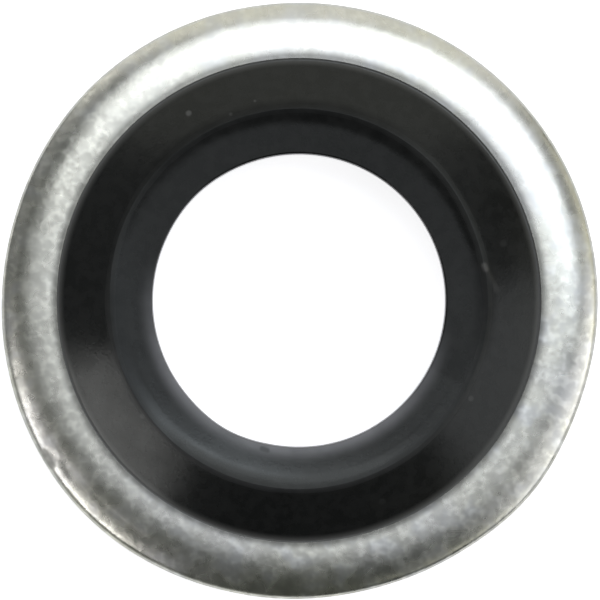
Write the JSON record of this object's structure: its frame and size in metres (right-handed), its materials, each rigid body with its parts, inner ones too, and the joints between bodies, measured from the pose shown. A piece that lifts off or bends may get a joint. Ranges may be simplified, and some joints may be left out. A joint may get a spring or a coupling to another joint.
{
  "type": "bonded sealing washer",
  "caption": "Flat steel ring with a broad rubber seal moulded inside it, whose raised bead seals on both faces under a bolt head or a fitting.",
  "frame": {"origin": "centre of the bore at half thickness", "axes": "+Z along the bore's axis; both faces are alike, so either may be up"},
  "size_m": [0.014, 0.014, 0.0024],
  "materials": {
    "zinc_plated_steel": "bright zinc plating over a tumbled surface, finely mottled",
    "black_rubber": "moulded black nitrile rubber, smooth satin"
  },
  "bodies": {
    "root": {"steel_ring": "zinc_plated_steel", "rubber_seal": "black_rubber"}
  },
  "joints": []
}
